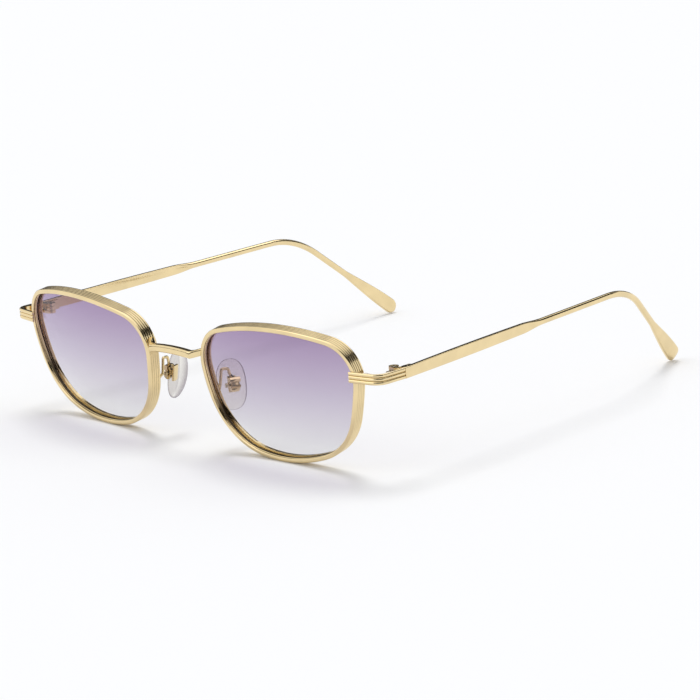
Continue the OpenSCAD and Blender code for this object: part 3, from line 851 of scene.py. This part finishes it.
class SUNGLASSES_OT_stage(bpy.types.Operator):
    """Makes the floor, the soft studio light and the camera at the angle of the photograph"""
    bl_idname = "sunglasses.stage"
    bl_label = "Stage"

    def execute(self, context):
        scene = context.scene
        colours = scene.sunglasses_colours
        scene.view_settings.view_transform = "Standard"
        data = bpy.data.cameras.new("camera")
        data.sensor_width = SENSOR
        data.lens = FOCAL_PIXELS / PHOTO_PIXELS * SENSOR
        data.clip_end = 20
        camera = add_object("camera", data)
        azimuth, elevation, roll = CAMERA_TURNS
        turn = Matrix.Rotation(azimuth, 4, "Z") @ Matrix.Rotation(pi / 2 - elevation, 4, "X") \
            @ Matrix.Rotation(roll, 4, "Z")
        turn.translation = place(CAMERA_AIM + turn.col[2].xyz * CAMERA_DISTANCE)
        camera.matrix_world = turn
        scene.camera = camera

        mesh = bpy.data.meshes.new("floor")
        half = FLOOR_HALF
        mesh.from_pydata([(-half, -half, 0), (half, -half, 0), (half, half, 0), (-half, half, 0)], [],
                         [(0, 1, 2, 3)])
        floor = add_object("floor", mesh)
        floor.location.z = CAD_BOX[0][2] - FLOOR_GAP
        mesh.materials.append(matt_material("pale_floor", colours.floor))

        world = bpy.data.worlds.new("studio")
        scene.world = world
        world.use_nodes = True
        tree = world.node_tree
        tree.nodes.clear()
        out = node(tree, "ShaderNodeOutputWorld")
        soft = node(tree, "ShaderNodeBackground", {"Color": (0.97, 0.98, 1.0, 1), "Strength": AMBIENT})
        white = node(tree, "ShaderNodeBackground", {"Color": (1, 1, 1, 1)})
        path = node(tree, "ShaderNodeLightPath")
        seen = node(tree, "ShaderNodeMath", operation="ADD")
        shown = node(tree, "ShaderNodeMath", operation="ADD", use_clamp=True)
        mix = node(tree, "ShaderNodeMixShader")
        link(path, "Is Camera Ray", seen, 0)
        link(path, "Is Glossy Ray", seen, 1)
        link(seen, "Value", shown, 0)
        link(path, "Is Transmission Ray", shown, 1)
        link(shown, "Value", mix, "Fac")
        link(soft, "Background", mix, 1)
        link(white, "Background", mix, 2)
        link(mix, "Shader", out, "Surface")

        for name, bearing, height, disc, strength, glossy in LAMPS:
            lamp = bpy.data.lights.new(name, "SUN")
            lamp.angle = radians(disc)
            lamp.energy = strength
            holder = add_object(name, lamp)
            holder.visible_glossy = glossy
            holder.location = away = toward(bearing, height)
            holder.rotation_euler = (-away).to_track_quat("-Z", "Y").to_euler()
        [dark_screen(*screen) for screen in SCREENS]
        return {"FINISHED"}


class SUNGLASSES_OT_eyewires(bpy.types.Operator):
    """Sweeps the ribbed rim section round both eyes"""
    bl_idname = "sunglasses.eyewires"
    bl_label = "Eyewires"

    def execute(self, context):
        sizes = context.scene.sunglasses_sizes
        lip = sizes.lip_round / MM
        rib = sizes.rib_depth / MM
        half = RIM_LIP / 2
        turns = [pi * k / 12 for k in range(13)]
        bead = [(half - half * cos(a), lip * (1 - sin(a)) ** LIP_FORM, 0.0) for a in turns]
        seat = [(SEAT_EDGE + SEAT_CREST * sin(a), SEAT_MIDDLE - SEAT_HALF * cos(a),
                 SEAT_MARK if a > 0.5 else 0.0) for a in (pi * k / 8 for k in range(9))]
        wall = [(inset, depth, WALL_MARK + shade if shade else 0.0)
                for inset, depth, shade in reversed(reeds(RIBS, RIM_DEPTH / RIBS, rib, RIB_SHADES))
                if bead[0][1] + WALL_END < depth < RIM_DEPTH - WALL_END]
        section = bead + list(UNDERCUT) + seat + list(LENS_GROOVE) + wall
        gold = gold_metal()
        for side in SIDES:
            piece = sweep_round_eye(side + "_eyewire", section, gold, side)
            # Painted shade: the seat darker low down, the ribs' grooves darker high up and towards the outer
            # sides.
            for corner, stored in zip(piece.data.vertices, piece.data.attributes["cavity"].data):
                spot = corner.co / MM
                if stored.value < 0:
                    stored.value = blend(*SEAT_PAINTED_SHADE, (SEAT_FADE[0] - spot.z) / SEAT_FADE[1])
                elif stored.value > 1:
                    high = blend(RIB_HIGH[0], 1, (spot.z - RIB_HIGH[1]) / RIB_HIGH[2])
                    outer = blend(RIB_OUTER[0], 1, (abs(abs(spot.x) - EYE.x) - RIB_OUTER[1]) / RIB_OUTER[2])
                    stored.value = (stored.value - WALL_MARK) * high * outer
            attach(piece, "front")
            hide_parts(side + "_rim")
        return {"FINISHED"}


class SUNGLASSES_OT_lenses(bpy.types.Operator):
    """Makes both lenses, curved on the base sphere"""
    bl_idname = "sunglasses.lenses"
    bl_label = "Lenses"

    def execute(self, context):
        tint = lens_tint()
        edge = outline(1.2)

        def ring(inset, depth, share=1.0):
            found = []
            for p, out in edge:
                q = (p - out * inset) * share
                found.append(eye_to_front((q.x, sag(q.x, q.y, depth), q.y)))
            return found

        back = LENS_FRONT + LENS_THICKNESS
        shares = [k / LENS_ROUNDS for k in range(1, LENS_ROUNDS + 1)]
        rings = [ring(LENS_EDGE, LENS_FRONT, share) for share in shares]
        rings += [ring(TONGUE_INSET, LENS_FRONT), ring(TONGUE_INSET, LENS_TONGUE),
                  ring(LENS_EDGE, LENS_TONGUE), ring(LENS_EDGE, back - LENS_BEVEL)]
        rings += [ring(LENS_EDGE + LENS_BEVEL, back, share) for share in reversed(shares)]
        for side in SIDES:
            piece = finish_mesh(side + "_sun_lens", loft(on_side(rings, side)), tint, sharp=30)
            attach(piece, "front")
            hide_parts(side + "_lens")
        return {"FINISHED"}


class SUNGLASSES_OT_bridge(bpy.types.Operator):
    """Makes the bridge bar with its feet turned back and up to the rims"""
    bl_idname = "sunglasses.bridge"
    bl_label = "Bridge"

    def execute(self, context):
        corner = context.scene.sunglasses_sizes.edge_round / MM
        foot_y = BRIDGE_FRONT + (BRIDGE_REACH - BRIDGE_HALF) * tan(FOOT_TURN)
        back_y, back_half = BRIDGE_FRONT + BRIDGE_DEPTH, BRIDGE_HALF - BRIDGE_TAPER
        foot = Vector((BRIDGE_REACH, foot_y)), Vector((BRIDGE_REACH, foot_y + BRIDGE_DEPTH * FOOT_THIN))
        bend = Vector((BRIDGE_HALF, BRIDGE_FRONT)), Vector((back_half, back_y))
        route = [(foot[0].lerp(bend[0], k / 4), foot[1].lerp(bend[1], k / 4)) for k in range(5)]
        for k in range(1, 13):
            x = 1 - 2 * k / 12
            route.append((Vector((x * BRIDGE_HALF, BRIDGE_FRONT)), Vector((x * back_half, back_y))))
        for k in range(1, 5):
            front, back = route[4 - k]
            route.append((Vector((-front.x, front.y)), Vector((-back.x, back.y))))
        rings, shades = [], []
        high = BRIDGE_HEIGHT / 2
        top = high - CREASE_DROP
        turns = [pi * k / 10 for k in range(11)]
        for front, back in route:
            half = (back - front).length / 2
            cut, gape = CREASE_BEND if abs(abs(front.x) - BRIDGE_HALF) < NEAR else CREASE
            crown = [(half * cos(a), high + BRIDGE_CROWN * (sin(a) ** CROWN_FORM - 1), 0) for a in turns]
            # The middle of the crease gets painted shade, a dark line along it.
            crease = [(-half, top, 0), (cut - half, top - gape / 2, 1), (-half, top - gape, 0)]
            base = [(corner - half, -high, 0), (half - corner, -high, 0), (half, corner - high, 0)]
            ring = []
            for a, b, shade in crown + crease + [(-half, corner - high, 0)] + base:
                spot = front.lerp(back, (a / half + 1) / 2)
                beyond = max(abs(spot.x) - BRIDGE_HALF, 0) / (BRIDGE_REACH - BRIDGE_HALF)
                arch = BRIDGE_RISE * (1 - min(abs(spot.x) / BRIDGE_HALF, 1) ** 2)
                ring.append(Vector((spot.x, spot.y, BRIDGE_LOW + arch + BRIDGE_LIFT * beyond + high + b)))
                shades.append(shade)
            rings.append(ring)
        mesh = loft(rings)
        mesh.attributes.new("cavity", "FLOAT", "POINT").data.foreach_set("value", shades)
        piece = finish_mesh("nose_bridge", mesh, gold_metal(), sharp=35)
        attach(piece, "front")
        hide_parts("bridge")
        return {"FINISHED"}


class SUNGLASSES_OT_end_pieces(bpy.types.Operator):
    """Sweeps the three-ridged strip from the rim round to the hinge on both sides"""
    bl_idname = "sunglasses.end_pieces"
    bl_label = "End pieces"

    def execute(self, context):
        deep = context.scene.sunglasses_sizes.ridge_depth / MM
        start = Vector(LUG_START)
        bend_x = OUTER_X - LUG_BEND
        bend_y = start.y + (bend_x + LUG_BEND * sin(LUG_SLOPE) - start.x) * tan(LUG_SLOPE) \
            + LUG_BEND * cos(LUG_SLOPE)
        bend = Vector((bend_x, bend_y))
        first = unit(LUG_SLOPE - pi / 2)
        route = [(start.lerp(bend + first * LUG_BEND, k / 10), first) for k in range(10)]
        for k in range(17):
            out = unit((LUG_SLOPE - pi / 2) * (1 - k / 16))
            route.append((bend + out * LUG_BEND, out))
        for k in range(1, 5):
            y = bend_y + (SEAM_Y - SEAM_GAP / 2 - bend_y) * k / 4
            route.append((Vector((OUTER_X, y)), Vector((1, 0))))
        half = LUG_HEIGHT / 2
        section = [(inset, level - half, shade)
                   for inset, level, shade in reeds(3, LUG_HEIGHT / 3, deep, RIDGE_SHADES)]
        section += [(LUG_THICKNESS, half - LUG_EDGE, 0.0), (LUG_THICKNESS, LUG_EDGE - half, 0.0)]
        for side, sign in SIDES.items():
            points, outward, thinning = [], [], []
            for p, out in route:
                thick = blend(LUG_TAB - TAB_CLEAR, LUG_THICKNESS, (p.x - start.x - TAB_START) / TAB_RUN)
                points.append(place((sign * p.x, p.y, LUG_Z)))
                outward.append(Vector((sign * out.x, out.y, 0)))
                thinning.append(outward[-1] * (LUG_THICKNESS - thick) * MM)
            path = path_object("path", points, closed=False, outward=outward, thinning=thinning)
            corners = [(-inset * MM, -sign * level * MM, 0) for inset, level, shade in section]
            profile = path_object("profile", corners,
                                  inner=[1.0 if point[0] == LUG_THICKNESS else 0.0 for point in section],
                                  cavity=[point[2] for point in section])
            piece = run_sweep(side + "_ridged_end_piece", path, profile, gold_metal())
            turn = place((sign * OUTER_X, bend_y, LUG_Z))
            # Painted shade in the ridges' grooves, strongest at the bend, where it stands in for a dark
            # reflection.
            for corner, stored in zip(piece.data.vertices, piece.data.attributes["cavity"].data):
                away = (corner.co - turn).length / MM
                stored.value *= blend(*LUG_SHARES, (away - LUG_FADE[0]) / LUG_FADE[1])
            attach(piece, "front")
            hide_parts(side + "_end_piece")
        return {"FINISHED"}


class SUNGLASSES_OT_temples(bpy.types.Operator):
    """Makes both temples: flat plate, round wire, ear bend and flattened tip"""
    bl_idname = "sunglasses.temples"
    bl_label = "Temples"

    def execute(self, context):
        edge = context.scene.sunglasses_sizes.edge_round / MM
        gold = gold_metal()
        for side in SIDES:
            rings = []

            def ring(at, centre_x, half_thick, half_high, corner):
                rings.append([at @ Vector((centre_x + a, 0, b))
                              for a, b in rounded_box(half_thick, half_high, corner)])

            base = move(OUTER_X, SEAM_Y, LUG_Z) @ Matrix.Rotation(SPLAY[side], 4, "Z") \
                @ Matrix.Rotation(RISE[side], 4, "X")
            half, gap, wire = PLATE_THICKNESS / 2, SEAM_GAP / 2, WIRE_RADIUS
            start = gap + PLATE_CHAMFER
            ring(base @ move(0, gap), -half, half - PLATE_CHAMFER, LUG_HEIGHT / 2 - PLATE_CHAMFER, edge)
            for k in range(25):
                y = start + (PLATE_LENGTH - start) * k / 24
                share = y / PLATE_LENGTH
                high = (LUG_HEIGHT + (PLATE_HEIGHT - LUG_HEIGHT) * sin(pi * share)) / 2
                ring(base @ move(0, y), -half, half, high - PLATE_NARROWS * share, edge)
            for k in range(1, 13):
                f = k / 12
                ring(base @ move(0, PLATE_LENGTH + NECK * f), blend(-half, WIRE_X, f),
                     blend(half, wire, f), blend(NECK_HALF, wire, f), blend(edge, wire, f))
            for k in range(1, 9):
                y = PLATE_LENGTH + NECK + (TEMPLE_STRAIGHT - PLATE_LENGTH - NECK) * k / 8
                ring(base @ move(0, y), WIRE_X, wire, wire, wire)
            ear = base @ move(WIRE_X, TEMPLE_STRAIGHT) @ Matrix.Rotation(EAR_LEAN[side], 4, "Y")
            for k in range(1, 25):
                a = EAR_BEND * k / 24
                spot = move(0, EAR_BEND_RADIUS * sin(a), EAR_BEND_RADIUS * (cos(a) - 1))
                ring(ear @ spot @ Matrix.Rotation(-a, 4, "X"), 0, wire, wire, wire)
            tip = ear @ spot @ Matrix.Rotation(-EAR_BEND, 4, "X")
            thin = TIP_THICKNESS / 2
            for k in range(1, 33):
                y = EAR_LENGTH * k / 32
                grown = (1 - cos(pi * (y - EAR_START) / (EAR_LENGTH - EAR_START))) / 2
                wide = wire if y < EAR_START else max(wire, TIP_CORE + (TIP_RADIUS - TIP_CORE) * grown)
                ring(tip @ move(0, y), 0, blend(wire, thin, (y - TIP_FLATTENS[0]) / TIP_FLATTENS[1]), wide,
                     blend(wire, TIP_CORNER, (y - TIP_SQUARES[0]) / TIP_SQUARES[1]))
            for k in range(1, 11):
                a = pi / 2 * k / 10.4
                flat = cos(a) ** TIP_FORM
                ring(tip @ move(0, EAR_LENGTH + TIP_RADIUS * sin(a)), 0, thin * flat,
                     TIP_RADIUS * cos(a), TIP_CORNER * flat)
            piece = finish_mesh(side + "_temple_wire", loft(on_side(rings, side)), gold, sharp=50)
            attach(piece, side + "_temple")
            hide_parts(side + "_temple")
        return {"FINISHED"}


class SUNGLASSES_OT_nose_pads(bpy.types.Operator):
    """Makes the soft nose pads and the bent wires that carry them"""
    bl_idname = "sunglasses.nose_pads"
    bl_label = "Nose pads"

    def execute(self, context):
        curve = ((PAD_HEIGHT / 2) ** 2 + PAD_BULGE ** 2) / (2 * PAD_BULGE)
        silicone, gold = clear_silicone(), gold_metal()

        def squared(value):
            return copysign(abs(value) ** PAD_SQUARENESS, value)

        rings = []
        for share, back_share in PAD_RINGS:
            ring = []
            for k in range(PAD_POINTS):
                a = 2 * pi * k / PAD_POINTS
                y = PAD_WIDTH / 2 * squared(cos(a)) * share
                z = PAD_HEIGHT / 2 * squared(sin(a)) * share
                front = PAD_FRONT + curve - sqrt(curve ** 2 - y * y - z * z)
                ring.append(pad_place((front + (PAD_BACK - front) * back_share, y, z)))
            rings.append(ring)
        foot = arm_place((0, -ARM_TURN, -ARM_LEG))
        box = pad_place((BOX_MIDDLE, 0, BOX_TOP - ARM_SUNK))
        top = [arm_place((0, ARM_TURN * y, z)) for y, z in ARM_TOP]
        route = rounded_path([foot + ARM_FOOT * ARM_REACH, foot] + top + [box], ARM_CURVE)
        for side in SIDES:
            piece = finish_mesh(side + "_soft_pad", loft(on_side(rings, side)), silicone)
            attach(piece, side + "_pad")
            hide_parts(side + "_nose_pad")
            wire = sweep_wire(side + "_pad_wire", on_side([route], side)[0], ARM_RADIUS, gold)
            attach(wire, "front")
            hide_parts(side + "_pad_arm")
        return {"FINISHED"}


class SUNGLASSES_OT_fittings(bpy.types.Operator):
    """Softens the edges of the closing blocks, hinge leaves, pad boxes, inserts and screws"""
    bl_idname = "sunglasses.fittings"
    bl_label = "Fittings"

    def execute(self, context):
        gold, steel = gold_metal(), screw_metal()
        for side in SIDES:
            for name, body, width in FITTINGS:
                screw = name.endswith("screw")
                piece = softened(side + "_" + name, width, steel if screw else gold,
                                 waisted=side if name == "pad_box" else None)
                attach(piece, body if body == "front" else side + "_" + body)
        return {"FINISHED"}


class SUNGLASSES_PT_panel(bpy.types.Panel):
    """Sizes, colours and pieces of the sunglasses"""
    bl_label = "Sunglasses"
    bl_idname = "SUNGLASSES_PT_panel"
    bl_space_type = "VIEW_3D"
    bl_region_type = "UI"
    bl_category = "Sunglasses"

    def draw(self, context):
        layout = self.layout
        for group in (context.scene.sunglasses_sizes, context.scene.sunglasses_colours):
            for name in group.bl_rna.properties.keys():
                if name not in ("rna_type", "name"):
                    layout.prop(group, name)
        for operator in OPERATORS:
            layout.operator(operator.bl_idname)


OPERATORS = (SUNGLASSES_OT_stage, SUNGLASSES_OT_eyewires, SUNGLASSES_OT_lenses,
             SUNGLASSES_OT_bridge, SUNGLASSES_OT_end_pieces, SUNGLASSES_OT_temples, SUNGLASSES_OT_nose_pads,
             SUNGLASSES_OT_fittings)
CLASSES = (SunglassesSizes, SunglassesColours) + OPERATORS + (SUNGLASSES_PT_panel,)


def register():
    for made in CLASSES:
        bpy.utils.register_class(made)
    bpy.types.Scene.sunglasses_sizes = PointerProperty(type=SunglassesSizes)
    bpy.types.Scene.sunglasses_colours = PointerProperty(type=SunglassesColours)


def unregister():
    del bpy.types.Scene.sunglasses_colours
    del bpy.types.Scene.sunglasses_sizes
    for made in reversed(CLASSES):
        bpy.utils.unregister_class(made)


def main():
    register()
    bpy.ops.sunglasses.stage()
    bpy.ops.sunglasses.eyewires()
    bpy.ops.sunglasses.lenses()
    bpy.ops.sunglasses.bridge()
    bpy.ops.sunglasses.end_pieces()
    bpy.ops.sunglasses.temples()
    bpy.ops.sunglasses.nose_pads()
    bpy.ops.sunglasses.fittings()


if __name__ == "__main__":
    main()
